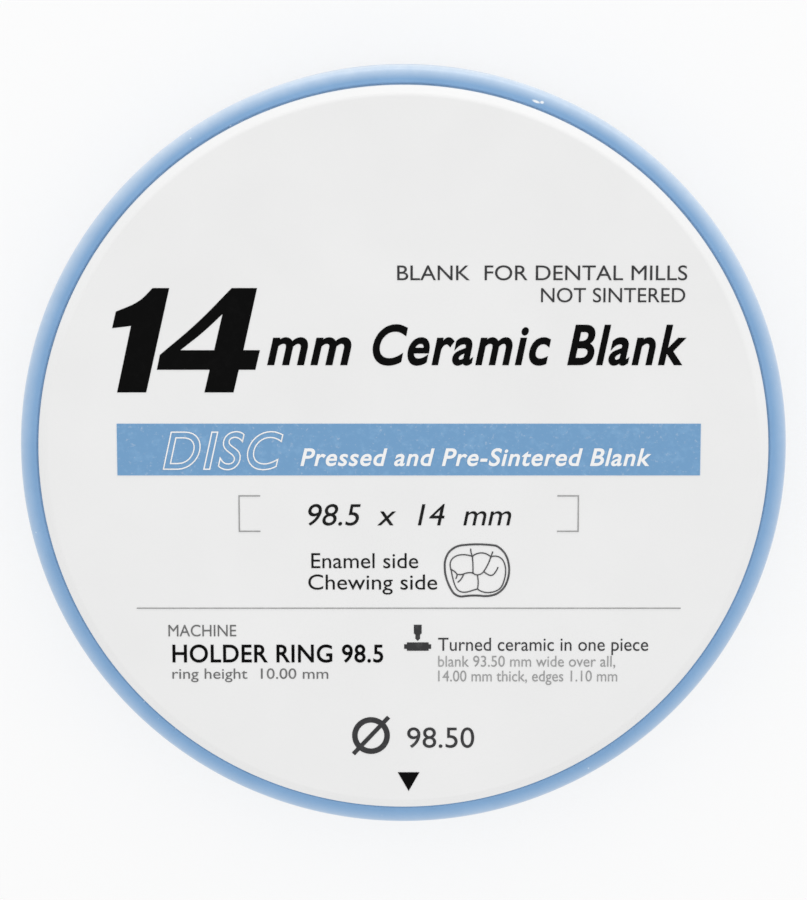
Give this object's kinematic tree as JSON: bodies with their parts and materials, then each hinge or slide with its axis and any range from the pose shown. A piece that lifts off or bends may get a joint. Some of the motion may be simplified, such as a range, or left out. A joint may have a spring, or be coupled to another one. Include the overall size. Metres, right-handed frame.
{
  "type": "dental milling disc",
  "caption": "Flat round milling disc: a chamfered white ceramic blank bonded into a rounded plastic holder ring, with a printed upper face.",
  "frame": {"origin": "centre of the blank's lower face, on which the disc lies", "axes": "+Z is the disc's axis and points out of the printed face; +Y is up for a reader of the print; +X is to the reader's right"},
  "size_m": [0.0984, 0.0984, 0.0141],
  "materials": {
    "blank_ceramic": "matt and chalky, pressed, turned and not yet sintered",
    "holder_plastic": "smooth semi-gloss moulding",
    "adhesive": "cured, satin",
    "blue_ink": "flat printed ink, slightly mottled",
    "grey_ink": "flat printed ink",
    "dark_grey_ink": "flat printed ink",
    "black_ink": "flat printed ink"
  },
  "bodies": {
    "root": {"ceramic_blank": "blank_ceramic", "holder_ring": "holder_plastic", "bond_film": "adhesive", "print_band": "blue_ink", "print_rule": "grey_ink", "print_brackets": "grey_ink", "print_arrow": "black_ink", "print_tooth": "dark_grey_ink"}
  },
  "joints": []
}
